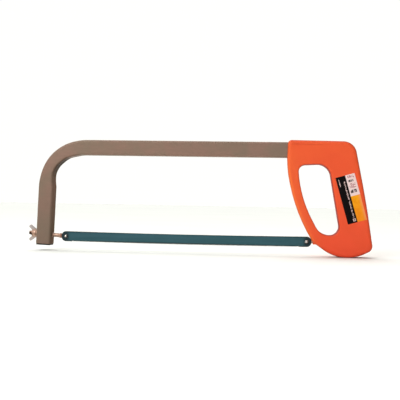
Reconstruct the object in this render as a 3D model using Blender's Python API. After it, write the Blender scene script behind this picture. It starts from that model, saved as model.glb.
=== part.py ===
"""A fixed-frame hacksaw with a square tube frame, a wing-nut tensioner and a moulded D handle.

Every length below is in millimetres, in the saw's own frame: the front blade pin is at the
origin, +X runs along the blade towards the handle, +Z towards the back of the frame, and the
blade is on the -Y side of the blade holders. DATUM sets the saw down so that the world origin
is under its middle.
"""

import math

import bmesh
import bpy
from mathutils import Matrix, Vector

MM = 0.001
GAP = 0.3  # clearance between pieces that touch
ARC_STEP = math.radians(12)  # turn of each facet on a rounded corner
COARSE_ARC_STEP = math.radians(30)  # the same on small corners
ROUND_SIDES = 20

# Where the front blade pin stands in the world.
DATUM = Vector((-165.0, 0.0, 18.2))

# Blade: nominally 300 mm between pin centres.
PIN_SPACING = 301.0
BLADE_WIDTH = 12.7
BLADE_END = 5.7  # from a pin to the end of the blade
BLADE_CORNER = 5.6
BLADE_THICKNESS = 0.65
BLADE_BOW = 0.9  # how far its middle lies below the line of the pins
BLADE_HOLE_RADIUS = 2.1
TOOTH_PITCH = 25.4 / 24
TOOTH_DEPTH = 0.7
TOOTH_START = 9.0
TOOTH_COUNT = 266
SEAT_Y = -1.8  # the flats of the blade holders

# Frame tube.
TUBE_SIZE = 18.9
TUBE_WALL = 1.5
TUBE_CORNER = 3.0
TUBE_TOP = 121.5
TUBE_REAR = 332.0
BEND_RADIUS = 61.0  # back of the bend
# How far the walls stand outside plain arcs, at even steps round the bend from the leg.
BACK_SWELL = (0.0, -0.1, 0.2, 0.6, 0.75, 0.6, 0.35, -0.05, 0.0)
THROAT_PRESS = (0.0, 1.8, 3.75, 4.15, 3.4, 2.8, 1.1, 0.4, 0.0)
LEG_LEAN = math.radians(1.92)  # the leg's foot stands forward of square
LEG_FACE_X = -37.26  # the leg's front face, at the height of the blade
LEG_FOOT = -9.3
BEND_STEPS = 11
PLUG_FLANGE = 1.5

# Draw bolt and wing nut, M5. The bolt sits in its holes at a slant.
BOLT_TILT = math.radians(4.3)
BOLT_RADIUS = 2.5
BOLT_END = 48.3
BOLT_HOLE_RADIUS = 3.0
EYE_HEIGHT = 5.6
EYE_REACH = 5.0
SHANK_START = 6.7  # clear of the blade's end
EYE_BACK_Y = 2.4
NUT_SEAT = 39.2
NUT_TURN = math.radians(-14)
WASHER_THICKNESS = 1.0
PIN_RADIUS = 1.8
PIN_HOLE_RADIUS = 1.95
PIN_PROUD = 2.5

# Handle: two half shells that meet at the middle plane.
HALF_WIDTH = 13.0
SHELL_WALL = 2.5
OUTER_FILLET = 4.5
OPENING_FILLET = 2.0
FILLET_STEPS = 3
BOSS_RADIUS = 4.2
HANDLE_OUTLINE = (  # x, z and corner radius, anticlockwise from the front of the top edge
    (276.0, 124.1, 5.0),
    (275.1, 90.2, 136.0),
    (287.6, 33.8, 218.0),
    (308.4, -0.1, 12.0),
    (345.0, -26.4, 49.0),
    (380.5, -7.9, 8.0),
    (371.2, 50.2, 900.0),
    (356.3, 123.0, 16.5),
)
HANDLE_OPENING = (
    (289.0, 93.6, 8.5),
    (292.4, 54.1, 146.0),
    (317.0, 8.4, 19.5),
    (341.7, 8.4, 10.6),
    (325.9, 95.6, 16.0),
)
NOSE_LUG = ((308.4, 0.4), (308.6, -2.9), (312.4, -3.0), (312.9, -2.2), (310.0, 0.2))
SCREWS = {"top": (346.0, 106.0), "grip": (352.0, 55.0), "heel": (362.0, 0.0), "nose": (334.0, -4.0)}
SCREW_RADIUS = 1.6
SCREW_HEAD_RADIUS = 3.2
SCREW_HEAD_SEAT = 9.8

# Steel inside the handle.
PLATE_Y = (0.8, 3.8)
HOLDER_TILT = math.radians(8)
HOLDER_RADIUS = 2.4
HOLDER_LENGTH = 19.5
HOLDER_EYE_AHEAD = 7.4
CORE_OUTLINE = (
    (278.6, 118.0, 3.0),
    (277.9, 90.5, 130.0),
    (290.2, 35.0, 215.0),
    (310.7, 1.9, 1.5),
    (319.2, -4.2, 2.0),
    (319.6, 4.6, 2.0),
    (314.4, 4.8, 8.0),
    (288.7, 53.2, 150.0),
    (284.0, 106.2, 1.5),
    (322.0, 106.2, 2.0),
    (322.0, 118.0, 3.0),
)
TUBE_RIVETS = {"front": 291.0, "rear": 312.0}
TUBE_RIVET_RADIUS = 2.0
HOLDER_RIVET = (315.8, 2.2)
HOLDER_RIVET_RADIUS = 1.25

# Label: its centre, size and lean on the near side of the grip.
LABEL_CENTRE = (353.0, 53.6)
LABEL_SIZE = (23.4, 58.0)
LABEL_LEAN = math.radians(16)
LABEL_Y = (-13.3, -13.1)

for old in list(bpy.data.objects):
    bpy.data.objects.remove(old)

datum = bpy.data.objects.new("saw_datum", None)
datum.location = DATUM * MM
bpy.context.scene.collection.objects.link(datum)


def material(name, colour, roughness, metallic=0.0):
    made = bpy.data.materials.new(name)
    made.use_nodes = True
    shader = made.node_tree.nodes["Principled BSDF"]
    shader.inputs["Base Color"].default_value = (*colour, 1.0)
    shader.inputs["Roughness"].default_value = roughness
    shader.inputs["Metallic"].default_value = metallic
    return made


LACQUERED_STEEL = material("lacquered_steel", (0.24, 0.17, 0.13), 0.4, 0.8)
BLACK_PLASTIC = material("black_plastic", (0.03, 0.03, 0.03), 0.5)
ZINC = material("zinc_plate", (0.62, 0.55, 0.45), 0.35, 1.0)
PIN_STEEL = material("pin_steel", (0.75, 0.75, 0.75), 0.2, 1.0)
BLADE_PAINT = material("blade_paint", (0.03, 0.09, 0.11), 0.45)
ORANGE_PLASTIC = material("orange_plastic", (0.85, 0.1, 0.03), 0.35)
CORE_STEEL = material("core_steel", (0.5, 0.5, 0.52), 0.5, 1.0)
PAPER = material("label_paper", (0.8, 0.7, 0.5), 0.6)


# Outlines in the plane of the saw


def turned_left(direction):
    return Vector((-direction.y, direction.x))


def shifted(outline, inward):
    """An anticlockwise outline with each side moved inward. Its corner radii follow."""
    moved = []
    for i, (x, z, radius) in enumerate(outline):
        here = Vector((x, z))
        before = (here - Vector(outline[i - 1][:2])).normalized()
        after = (Vector(outline[(i + 1) % len(outline)][:2]) - here).normalized()
        n1, n2 = turned_left(before), turned_left(after)
        place = here + inward * (n1 + n2) / (1 + n1.dot(n2))
        bulges = before.cross(after) > 0
        moved.append((place.x, place.y, radius - inward if bulges else radius + inward))
    return moved


def rounded(outline, arc_step=ARC_STEP):
    """The points of an outline whose corners are arcs."""
    points = []
    for i, (x, z, radius) in enumerate(outline):
        here = Vector((x, z))
        back = (Vector(outline[i - 1][:2]) - here).normalized()
        ahead = (Vector(outline[(i + 1) % len(outline)][:2]) - here).normalized()
        turn = math.pi - back.angle(ahead)
        centre = here + (back + ahead).normalized() * radius / math.cos(turn / 2)
        start = here + back * radius * math.tan(turn / 2) - centre
        side = 1 if back.cross(ahead) < 0 else -1
        steps = max(3, round(turn / arc_step))
        for k in range(steps + 1):
            angle = side * turn * k / steps
            points.append(centre + Matrix.Rotation(angle, 2) @ start)
    return points


def circle(x, z, radius, sides=ROUND_SIDES):
    angles = [2 * math.pi * k / sides for k in range(sides)]
    return [Vector((x + radius * math.cos(a), z + radius * math.sin(a))) for a in angles]


# Meshes


def place(name, bm, look, matrix=None):
    """An object on the datum. Its mesh is in millimetres in its own axes, and matrix places it."""
    bmesh.ops.recalc_face_normals(bm, faces=bm.faces)
    bmesh.ops.scale(bm, vec=(MM, MM, MM), verts=bm.verts)
    mesh = bpy.data.meshes.new(name)
    bm.to_mesh(mesh)
    bm.free()
    mesh.shade_smooth()
    mesh.set_sharp_from_angle(angle=math.radians(30))
    if look:
        mesh.materials.append(look)
    made = bpy.data.objects.new(name, mesh)
    bpy.context.scene.collection.objects.link(made)
    made.parent = datum
    if matrix:
        made.matrix_local = Matrix.Translation(matrix.to_translation() * MM) @ matrix.to_3x3().to_4x4()
    return made


def cutter(name, bm, matrix=None):
    made = place(name, bm, None, matrix)
    made.hide_render = True
    made.display_type = "WIRE"
    return made


def combine(target, other, operation):
    modifier = target.modifiers.new(f"{operation.lower()}_{other.name}", "BOOLEAN")
    modifier.operation = operation
    modifier.object = other


def ring(bm, points, y):
    return [bm.verts.new((p.x, y, p.y)) for p in points]


def close_loop(bm, verts):
    edges = []
    for a, b in zip(verts, verts[1:] + verts[:1]):
        edges.append(bm.edges.get((a, b)) or bm.edges.new((a, b)))
    return edges


def bridge(bm, first, second):
    """Side faces between two rings that have the same number of points."""
    count = len(first)
    for i in range(count):
        j = (i + 1) % count
        bm.faces.new((first[i], first[j], second[j], second[i]))


def fill(bm, *loops):
    """Flat faces inside the first loop and outside the others."""
    edges = [edge for loop in loops for edge in close_loop(bm, loop)]
    bmesh.ops.triangle_fill(bm, edges=edges, use_beauty=True, use_dissolve=False)


def add_plate(bm, loops, y_low, y_high):
    """A flat plate between two values of Y. The first loop is its edge and the rest are holes."""
    low = [ring(bm, loop, y_low) for loop in loops]
    high = [ring(bm, loop, y_high) for loop in loops]
    for a, b in zip(low, high):
        bridge(bm, a, b)
    fill(bm, *low)
    fill(bm, *high)


def plate(loops, y_low, y_high):
    bm = bmesh.new()
    add_plate(bm, loops, y_low, y_high)
    return bm


def add_box(bm, x, y, z):
    corners = [Vector((x[i], z[j])) for i, j in ((0, 0), (1, 0), (1, 1), (0, 1))]
    add_plate(bm, [corners], *y)


def add_turned(bm, profile, axis_matrix=None, sides=ROUND_SIDES):
    """A body turned about local Z from (radius, height) points. A closed profile makes a ring."""
    rings = []
    for radius, height in profile:
        if radius == 0:
            rings.append([bm.verts.new((0, 0, height))])
            continue
        points = circle(0, 0, radius, sides)
        rings.append([bm.verts.new((p.x, p.y, height)) for p in points])
    pairs = list(zip(rings, rings[1:]))
    if profile[0][0] and profile[-1][0]:
        pairs.append((rings[-1], rings[0]))
    for a, b in pairs:
        if len(a) == 1 or len(b) == 1:
            tip, rim = (a[0], b) if len(a) == 1 else (b[0], a)
            for i in range(sides):
                bm.faces.new((tip, rim[i], rim[(i + 1) % sides]))
        else:
            bridge(bm, a, b)
    if axis_matrix:
        verts = [v for r in rings for v in r]
        bmesh.ops.transform(bm, matrix=axis_matrix, verts=verts)


def turned(profile, axis_matrix=None, sides=ROUND_SIDES):
    bm = bmesh.new()
    add_turned(bm, profile, axis_matrix, sides)
    return bm


def rod(radius, low, high):
    return [(0, low), (radius, low), (radius, high), (0, high)]


def across(x, z):
    """Local Z along world -Y, towards the near side, through a point of the saw's plane."""
    return Matrix.Translation((x, 0, z)) @ Matrix.Rotation(math.pi / 2, 4, "X")


def along_bolt():
    """Local Z along the draw bolt towards the front, from the front pin. Local Y stays world Y."""
    return Matrix.Rotation(BOLT_TILT - math.pi / 2, 4, "Y")


def along_holder():
    """Local Z along the rear holder into the handle, from the rear pin."""
    return Matrix.Translation((PIN_SPACING, 0, 0)) @ Matrix.Rotation(math.pi / 2 - HOLDER_TILT, 4, "Y")


# Frame tube and its plug


def leg_axes():
    """Down the leg, and from its front face towards the throat."""
    down = Vector((-math.sin(LEG_LEAN), -math.cos(LEG_LEAN)))
    return down, turned_left(down)


def bend_centre():
    z = TUBE_TOP - BEND_RADIUS
    x = LEG_FACE_X + z * math.tan(LEG_LEAN) + BEND_RADIUS / math.cos(LEG_LEAN)
    return Vector((x, z))


def curve(values, share):
    """A smooth curve through evenly spaced values, at a share of its length from 0 to 1."""
    last = len(values) - 1
    i = min(int(share * last), last - 1)
    t = share * last - i
    a, b, c, d = (values[min(max(j, 0), last)] for j in range(i - 1, i + 3))
    return b + t * ((c - a) / 2 + t * (a - 2.5 * b + 2 * c - d / 2 + t * (1.5 * (b - c) + (d - a) / 2)))


def tube_stations(inset):
    """(back, throat) points of each section, from the foot to the rear end."""
    down, inward = leg_axes()
    centre = bend_centre()
    turn = math.pi / 2 - LEG_LEAN
    stations = []
    for k in range(BEND_STEPS + 1):
        share = k / BEND_STEPS
        outward = Matrix.Rotation(-turn * share, 2) @ -inward
        back = BEND_RADIUS - inset + curve(BACK_SWELL, share)
        throat = BEND_RADIUS - TUBE_SIZE + inset + curve(THROAT_PRESS, share)
        stations.append((centre + outward * back, centre + outward * throat))
    leg_length = (stations[0][0].y - LEG_FOOT) / math.cos(LEG_LEAN)
    foot = tuple(point + down * leg_length for point in stations[0])
    rear = tuple(Vector((TUBE_REAR, point.y)) for point in stations[-1])
    return [foot, *stations, rear]


def tube_ring(bm, back, throat, inset):
    half_depth = (back - throat).length / 2
    half_width = TUBE_SIZE / 2 - inset
    radius = max(TUBE_CORNER - inset, 0.6)
    middle, out = (back + throat) / 2, (back - throat).normalized()
    square = [(-half_width, -half_depth), (half_width, -half_depth)]
    square += [(half_width, half_depth), (-half_width, half_depth)]
    verts = []
    for p in rounded([(y, depth, radius) for y, depth in square], COARSE_ARC_STEP):
        at = middle + out * p.y
        verts.append(bm.verts.new((at.x, p.x, at.y)))
    return verts


def make_frame_tube():
    bm = bmesh.new()
    skins = []
    for inset in (0.0, TUBE_WALL):
        skin = [tube_ring(bm, *station, inset) for station in tube_stations(inset)]
        for a, b in zip(skin, skin[1:]):
            bridge(bm, a, b)
        skins.append(skin)
    bridge(bm, skins[0][0], skins[1][0])
    bridge(bm, skins[0][-1], skins[1][-1])
    tube = place("frame_tube", bm, LACQUERED_STEEL)

    cuts = bmesh.new()
    add_turned(cuts, rod(BOLT_HOLE_RADIUS, 12, 45), along_bolt())
    slot_z = (TUBE_TOP - TUBE_SIZE - 2, TUBE_TOP - TUBE_SIZE + TUBE_WALL + 1)
    add_box(cuts, (277.0, TUBE_REAR + 2), (PLATE_Y[0] - GAP, PLATE_Y[1] + GAP), slot_z)
    for x in TUBE_RIVETS.values():
        mid = TUBE_TOP - TUBE_SIZE / 2
        add_turned(cuts, rod(TUBE_RIVET_RADIUS + 0.2, -TUBE_SIZE, TUBE_SIZE), across(x, mid))
    combine(tube, cutter("tube_cuts", cuts), "DIFFERENCE")


def make_end_plug():
    """A square plug with a flange, in the leg's own axes: local -Z points out of the foot."""
    foot_back, foot_throat = tube_stations(0.0)[0]
    middle = (foot_back + foot_throat) / 2
    inside = TUBE_SIZE / 2 - TUBE_WALL - GAP
    flange = TUBE_SIZE / 2 - 0.2
    bm = bmesh.new()
    levels = ((inside - 0.6, 8.0), (inside, 7.0), (inside, -GAP), (flange, -GAP))
    levels += ((flange, -GAP - PLUG_FLANGE + 0.5), (flange - 0.5, -GAP - PLUG_FLANGE))
    rings = []
    for half, height in levels:
        r = TUBE_CORNER - (TUBE_SIZE / 2 - half)
        corners = ((-half, -half, r), (half, -half, r), (half, half, r), (-half, half, r))
        rings.append([bm.verts.new((p.x, p.y, height)) for p in rounded(corners, COARSE_ARC_STEP)])
    for a, b in zip(rings, rings[1:]):
        bridge(bm, a, b)
    bm.faces.new(rings[0])
    bm.faces.new(rings[-1])
    matrix = Matrix.Translation((middle.x, 0, middle.y)) @ Matrix.Rotation(LEG_LEAN, 4, "Y")
    place("tube_end_plug", bm, BLACK_PLASTIC, matrix)


# Tensioner


def add_eye(bm, reach_back, reach_ahead):
    """A flattened rod end about local Z, round at its low end, with its seat at SEAT_Y."""
    half = EYE_HEIGHT / 2
    outline = ((-half, -reach_back, 2.0), (half, -reach_back, 2.0))
    outline += ((half, reach_ahead, 0.6), (-half, reach_ahead, 0.6))
    add_plate(bm, [rounded(outline)], SEAT_Y, EYE_BACK_Y)


def make_tension_bolt():
    shank = [(0, SHANK_START), (BOLT_RADIUS, SHANK_START), (BOLT_RADIUS, BOLT_END - 0.7)]
    shank += [(1.9, BOLT_END), (0, BOLT_END)]
    bolt = place("tension_bolt", turned(shank), ZINC, along_bolt())
    eye = bmesh.new()
    add_eye(eye, EYE_REACH, 9.0)
    combine(bolt, cutter("tension_bolt_eye", eye, along_bolt()), "UNION")
    hole = turned(rod(PIN_HOLE_RADIUS, -5, 5), across(0, 0))
    combine(bolt, cutter("tension_bolt_pin_hole", hole), "DIFFERENCE")


def make_pin(name, x):
    """A blade pin with a domed end, standing proud of the blade on the near side."""
    tip = -SEAT_Y + GAP + BLADE_THICKNESS + PIN_PROUD
    profile = [(0, -EYE_BACK_Y), (PIN_RADIUS, -EYE_BACK_Y), (PIN_RADIUS, tip - 0.9)]
    profile += [(PIN_RADIUS * 0.85, tip - 0.35), (PIN_RADIUS * 0.5, tip - 0.05), (0, tip)]
    place(name, turned(profile), PIN_STEEL, across(x, 0))


def make_washer():
    bottom = NUT_SEAT - GAP - WASHER_THICKNESS
    profile = [(2.8, bottom), (5.0, bottom), (5.0, NUT_SEAT - GAP), (2.8, NUT_SEAT - GAP)]
    place("tension_washer", turned(profile), ZINC, along_bolt())


def make_wing_nut():
    """Local Z is the bolt's axis, out of the front of the leg. The wings lie in local XZ."""
    matrix = along_bolt() @ Matrix.Translation((0, 0, NUT_SEAT)) @ Matrix.Rotation(NUT_TURN, 4, "Z")
    hub = [(2.7, 0), (4.6, 0), (4.9, 0.5), (4.7, 2.0), (4.0, 5.6), (3.6, 6.0), (2.7, 6.0)]
    nut = place("wing_nut", turned(hub), ZINC, matrix)
    wings = bmesh.new()
    for side in (1, -1):
        wing = [(3.3, 0.7, 0.4), (5.6, 0.7, 1.0), (11.0, 7.5, 1.4), (8.2, 9.9, 1.4), (3.3, 4.6, 0.4)]
        if side < 0:
            wing = [(-x, z, r) for x, z, r in reversed(wing)]
        add_plate(wings, [rounded(wing, math.radians(20))], -1.3, 1.3)
    combine(nut, cutter("wing_nut_wings", wings, matrix), "UNION")


def make_blade():
    half = BLADE_WIDTH / 2
    root = -half + TOOTH_DEPTH
    edge = []
    for k in range(TOOTH_COUNT):
        x = TOOTH_START + k * TOOTH_PITCH
        edge += [Vector((x, root)), Vector((x + 0.05, -half))]
    edge.append(Vector((TOOTH_START + TOOTH_COUNT * TOOTH_PITCH, root)))
    outline = blade_end(-1) + edge + blade_end(1)
    outline += [Vector((PIN_SPACING * k / 16, half)) for k in range(15, 0, -1)]
    holes = [circle(x, 0, BLADE_HOLE_RADIUS) for x in (0, PIN_SPACING)]
    near = SEAT_Y - GAP - BLADE_THICKNESS
    bm = plate([outline, *holes], near, near + BLADE_THICKNESS)
    for vert in bm.verts:
        vert.co.z -= BLADE_BOW * max(0.0, 1 - (2 * vert.co.x / PIN_SPACING - 1) ** 2)
    place("blade", bm, BLADE_PAINT)


def blade_end(side, steps=6):
    """The rounded end of the blade, anticlockwise: side is -1 for the front end and +1 for the rear."""
    pin = PIN_SPACING if side > 0 else 0.0
    half = BLADE_WIDTH / 2
    points = []
    for k in range(2 * steps + 2):
        corner = side if k > steps else -side
        angle = math.pi / 2 * ((k - (corner == side)) / steps - side)
        centre = Vector((pin + side * (BLADE_END - BLADE_CORNER), corner * (half - BLADE_CORNER)))
        points.append(centre + BLADE_CORNER * Vector((math.cos(angle), math.sin(angle))))
    return points


# Handle


def fillet_levels(fillet, base):
    """(inset, height) pairs up a straight side and round a quarter fillet at its top."""
    levels = [(0.0, GAP / 2)]
    for k in range(FILLET_STEPS + 1):
        angle = math.pi / 2 * k / FILLET_STEPS
        levels.append((fillet * (1 - math.cos(angle)), base - fillet + fillet * math.sin(angle)))
    return levels


def shell_body(side):
    """The tray of one half shell: side is -1 for the near half and +1 for the far half."""
    ceiling = HALF_WIDTH - SHELL_WALL
    cove = 2.0
    cavity = [(SHELL_WALL, GAP / 2), (SHELL_WALL, ceiling - cove), (SHELL_WALL + cove, ceiling)]
    bm = bmesh.new()

    def wall(outline, levels, sign):
        rings = []
        for inset, height in levels:
            points = rounded(shifted(outline, sign * inset))
            rings.append(ring(bm, points, side * height))
        for a, b in zip(rings, rings[1:]):
            bridge(bm, a, b)
        return rings[0], rings[-1]

    outer_rim, outer_top = wall(HANDLE_OUTLINE, fillet_levels(OUTER_FILLET, HALF_WIDTH), 1)
    hole_rim, hole_top = wall(HANDLE_OPENING, fillet_levels(OPENING_FILLET, HALF_WIDTH), -1)
    outer_cavity, outer_ceiling = wall(HANDLE_OUTLINE, cavity, 1)
    hole_cavity, hole_ceiling = wall(HANDLE_OPENING, cavity, -1)
    fill(bm, outer_top, hole_top)
    fill(bm, outer_ceiling, hole_ceiling)
    bridge(bm, outer_rim, outer_cavity)
    bridge(bm, hole_rim, hole_cavity)
    return bm


def shell_ribs(side):
    """Ribs round the tube and across the grip, the screw bosses and a lug under the rear holder."""
    bm = bmesh.new()
    deep = HALF_WIDTH - SHELL_WALL + 1.0
    y = sorted((side * GAP / 2, side * deep))
    for x in (301.0, 323.0):
        add_box(bm, (x - 1, x + 1), y, (95.6, 121.9))
    add_box(bm, (330.0, 363.0), y, (79.0, 81.0))
    add_box(bm, (339.0, 372.5), y, (29.0, 31.0))
    add_plate(bm, [[Vector(corner) for corner in NOSE_LUG]], *sorted((side * GAP / 2, side * 5.5)))
    for x, z in SCREWS.values():
        add_plate(bm, [circle(x, z, BOSS_RADIUS)], *y)
    return bm


def shell_cuts(side):
    """Room for the tube and the rear holder, and the screw holes."""
    bm = bmesh.new()
    room = TUBE_SIZE / 2 + GAP
    middle = TUBE_TOP - TUBE_SIZE / 2
    add_box(bm, (266.0, TUBE_REAR + 1), (-room, room), (middle - room, middle + room))
    add_turned(bm, rod(HOLDER_RADIUS + GAP, 4.5, HOLDER_LENGTH + GAP), along_holder())
    for x, z in SCREWS.values():
        if side > 0:
            head_room = SCREW_HEAD_RADIUS + GAP
            shank_room = SCREW_RADIUS + GAP
            steps = [(0, -20), (head_room, -20), (head_room, -SCREW_HEAD_SEAT + GAP)]
            steps += [(shank_room, -SCREW_HEAD_SEAT + GAP), (shank_room, 1), (0, 1)]
            add_turned(bm, steps, across(x, z))
        else:
            add_turned(bm, rod(SCREW_RADIUS + 0.2, -1, 7.5), across(x, z))
    return bm


def nose_notch():
    """Room in the handle's nose for the flattened end of the rear holder."""
    half = EYE_HEIGHT / 2 + GAP
    bm = bmesh.new()
    corners = [(-half, 0), (half, 0), (half, HOLDER_EYE_AHEAD + GAP), (-half, HOLDER_EYE_AHEAD + GAP)]
    add_plate(bm, [[Vector(c) for c in corners]], SEAT_Y - GAP, EYE_BACK_Y + GAP)
    return bm


def make_shell(name, side):
    shell = place(name, shell_body(side), ORANGE_PLASTIC)
    combine(shell, cutter(f"{name}_ribs", shell_ribs(side)), "UNION")
    combine(shell, cutter(f"{name}_cuts", shell_cuts(side)), "DIFFERENCE")
    combine(shell, cutter(f"{name}_nose_notch", nose_notch(), along_holder()), "DIFFERENCE")


def make_core_plate():
    mid = TUBE_TOP - TUBE_SIZE / 2
    holes = [circle(x, mid, TUBE_RIVET_RADIUS + 0.2) for x in TUBE_RIVETS.values()]
    holes.append(circle(*HOLDER_RIVET, HOLDER_RIVET_RADIUS + 0.2, 16))
    place("core_plate", plate([rounded(CORE_OUTLINE), *holes], *PLATE_Y), CORE_STEEL)


def make_rear_holder():
    shank = rod(HOLDER_RADIUS, SHANK_START, HOLDER_LENGTH)
    holder = place("rear_blade_holder", turned(shank), ZINC, along_holder())
    eye = bmesh.new()
    add_eye(eye, EYE_REACH, HOLDER_EYE_AHEAD)
    combine(holder, cutter("rear_holder_eye", eye, along_holder()), "UNION")
    tail = bmesh.new()
    add_box(tail, (309.5, 325.0), (PLATE_Y[0] - GAP, 5.0), (-6.0, 10.0))
    combine(holder, cutter("rear_holder_tail_flat", tail), "DIFFERENCE")
    holes = bmesh.new()
    add_turned(holes, rod(PIN_HOLE_RADIUS, -5, 5), across(PIN_SPACING, 0))
    add_turned(holes, rod(HOLDER_RIVET_RADIUS + 0.2, -5, 5), across(*HOLDER_RIVET), 16)
    combine(holder, cutter("rear_holder_holes", holes), "DIFFERENCE")


def make_rivet(name, x, z, shaft, head, near, far, thickness):
    """A rivet across the saw, with a head beyond each of two values of Y."""
    profile = [(0, -far - thickness), (head * 0.8, -far - thickness), (head, -far - thickness / 2)]
    profile += [(head, -far), (shaft, -far), (shaft, -near), (head, -near)]
    profile += [(head, -near + thickness / 2), (head * 0.8, -near + thickness), (0, -near + thickness)]
    place(name, turned(profile), CORE_STEEL, across(x, z))


def make_handle_screw(name, x, z):
    """Local Z points to the near side, so the head is at the low end."""
    seat, head = -SCREW_HEAD_SEAT, 2.4
    profile = [(0, seat - head), (2.4, seat - head), (SCREW_HEAD_RADIUS, seat - head + 1.0)]
    profile += [(SCREW_HEAD_RADIUS, seat), (SCREW_RADIUS, seat), (SCREW_RADIUS, 5.4), (0, 7.0)]
    screw = place(name, turned(profile), ZINC, across(x, z))
    arm, slot = 1.7, 0.4
    quarter = [(slot, arm), (slot, slot), (arm, slot)]
    cross = []
    for k in range(4):
        spin = Matrix.Rotation(-math.pi / 2 * k, 2)
        cross += [spin @ Vector(p) + Vector((x, z)) for p in quarter]
    cross.reverse()
    recess = plate([cross], -seat + head - 1.4, -seat + head + 1)
    combine(screw, cutter(f"{name}_recess", recess), "DIFFERENCE")


def make_label():
    half_x, half_z = LABEL_SIZE[0] / 2, LABEL_SIZE[1] / 2
    corners = [(-half_x, -half_z), (half_x, -half_z), (half_x, half_z), (-half_x, half_z)]
    lean = Matrix.Rotation(LABEL_LEAN, 2)
    outline = [lean @ Vector(c) + Vector(LABEL_CENTRE) for c in corners]
    place("handle_label", plate([outline], *LABEL_Y), PAPER)


make_frame_tube()
make_end_plug()
make_tension_bolt()
make_pin("front_blade_pin", 0.0)
make_washer()
make_wing_nut()
make_blade()
make_shell("handle_near_shell", -1)
make_shell("handle_far_shell", 1)
make_core_plate()
make_rear_holder()
make_pin("rear_blade_pin", PIN_SPACING)
tube_side = TUBE_SIZE / 2 + 0.2
for end, rivet_x in TUBE_RIVETS.items():
    height = TUBE_TOP - TUBE_SIZE / 2
    make_rivet(f"tube_rivet_{end}", rivet_x, height, TUBE_RIVET_RADIUS, 3.4, -tube_side, tube_side, 0.7)
make_rivet("holder_rivet", *HOLDER_RIVET, HOLDER_RIVET_RADIUS, 2.1, -2.7, PLATE_Y[1] + GAP, 0.9)
for spot, (screw_x, screw_z) in SCREWS.items():
    make_handle_screw(f"handle_screw_{spot}", screw_x, screw_z)
make_label()
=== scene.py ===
"""Looks of the hacksaw: fine meshes and materials for the pieces that show, in a plain studio.

Shapes are written in millimetres in the saw's own frame: the front blade pin is at the origin,
+X runs along the blade towards the handle, +Z towards the back of the frame, and the blade is on
the -Y side of its holders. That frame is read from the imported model, as the two blade pins.
"""

import math

import bmesh
import bpy
from mathutils import Matrix, Vector


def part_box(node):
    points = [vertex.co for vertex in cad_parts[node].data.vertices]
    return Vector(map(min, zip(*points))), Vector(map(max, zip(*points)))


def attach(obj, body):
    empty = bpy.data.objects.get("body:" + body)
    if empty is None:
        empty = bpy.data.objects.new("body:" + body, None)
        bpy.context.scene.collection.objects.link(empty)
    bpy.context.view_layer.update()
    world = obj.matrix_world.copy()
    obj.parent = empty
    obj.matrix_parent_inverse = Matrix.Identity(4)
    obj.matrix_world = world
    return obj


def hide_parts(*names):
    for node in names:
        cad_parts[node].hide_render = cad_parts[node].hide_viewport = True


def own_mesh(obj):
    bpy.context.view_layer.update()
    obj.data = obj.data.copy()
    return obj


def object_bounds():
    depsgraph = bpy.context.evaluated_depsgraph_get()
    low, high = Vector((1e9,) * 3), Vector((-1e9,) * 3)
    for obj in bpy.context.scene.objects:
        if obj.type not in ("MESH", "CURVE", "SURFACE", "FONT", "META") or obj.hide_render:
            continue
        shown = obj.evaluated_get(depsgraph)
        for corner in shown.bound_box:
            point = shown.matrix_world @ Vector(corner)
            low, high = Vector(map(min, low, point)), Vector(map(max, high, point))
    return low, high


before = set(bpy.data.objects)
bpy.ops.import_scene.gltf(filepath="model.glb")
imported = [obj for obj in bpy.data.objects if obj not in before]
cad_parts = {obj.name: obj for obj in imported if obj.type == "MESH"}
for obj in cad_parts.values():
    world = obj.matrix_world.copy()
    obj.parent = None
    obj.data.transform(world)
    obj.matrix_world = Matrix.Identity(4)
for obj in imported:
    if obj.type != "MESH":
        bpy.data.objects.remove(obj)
cad_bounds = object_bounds()

MM = 0.001


def middle(node):
    low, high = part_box(node)
    return (low + high) / 2


FRONT_PIN = middle("front_blade_pin")
PIN_SPACING = (middle("rear_blade_pin").x - FRONT_PIN.x) / MM
SAW = Matrix.Translation((FRONT_PIN.x, 0.0, FRONT_PIN.z)) @ Matrix.Scale(MM, 4)

GAP = 0.3  # clearance between pieces that touch
ARC_STEP = math.radians(3)
FINE_SIDES = 64

BLADE_WIDTH = 12.7
BLADE_END = 5.7  # from a pin to the end of the blade
BLADE_CORNER = 5.6
BLADE_THICKNESS = 0.65
BLADE_BOW = 0.9  # how far its middle lies below the line of the pins
BLADE_HOLE_RADIUS = 2.1
TOOTH_PITCH = 25.4 / 24
TOOTH_DEPTH = 0.7
TOOTH_START = 9.0
TOOTH_COUNT = 266
TOOTH_SET = 0.16  # how far the teeth lean to each side
SET_WAVE = 8  # teeth in one wave of the set
SEAT_Y = -1.8  # the flats of the blade holders

TUBE_SIZE = 18.9
TUBE_WALL = 1.5
TUBE_CORNER = 3.0
TUBE_TOP = 121.5
TUBE_REAR = 332.0
BEND_RADIUS = 61.0  # back of the bend
# How far the walls stand outside plain arcs, at even steps round the bend from the leg.
BACK_SWELL = (0.0, -0.1, 0.2, 0.6, 0.75, 0.6, 0.35, -0.05, 0.0)
THROAT_PRESS = (0.0, 1.8, 3.75, 4.15, 3.4, 2.8, 1.1, 0.4, 0.0)
SIDE_BULGE = 0.35  # how far the side walls swell in the bend
THROAT_DISH = 0.9  # how far the throat wall dishes in the bend
LEG_LEAN = math.radians(1.92)
LEG_FACE_X = -37.26
LEG_FOOT = -9.3
PLUG_FLANGE = 1.5
PLUG_DEPTH = 8.0  # how far the plug reaches up the leg

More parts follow.
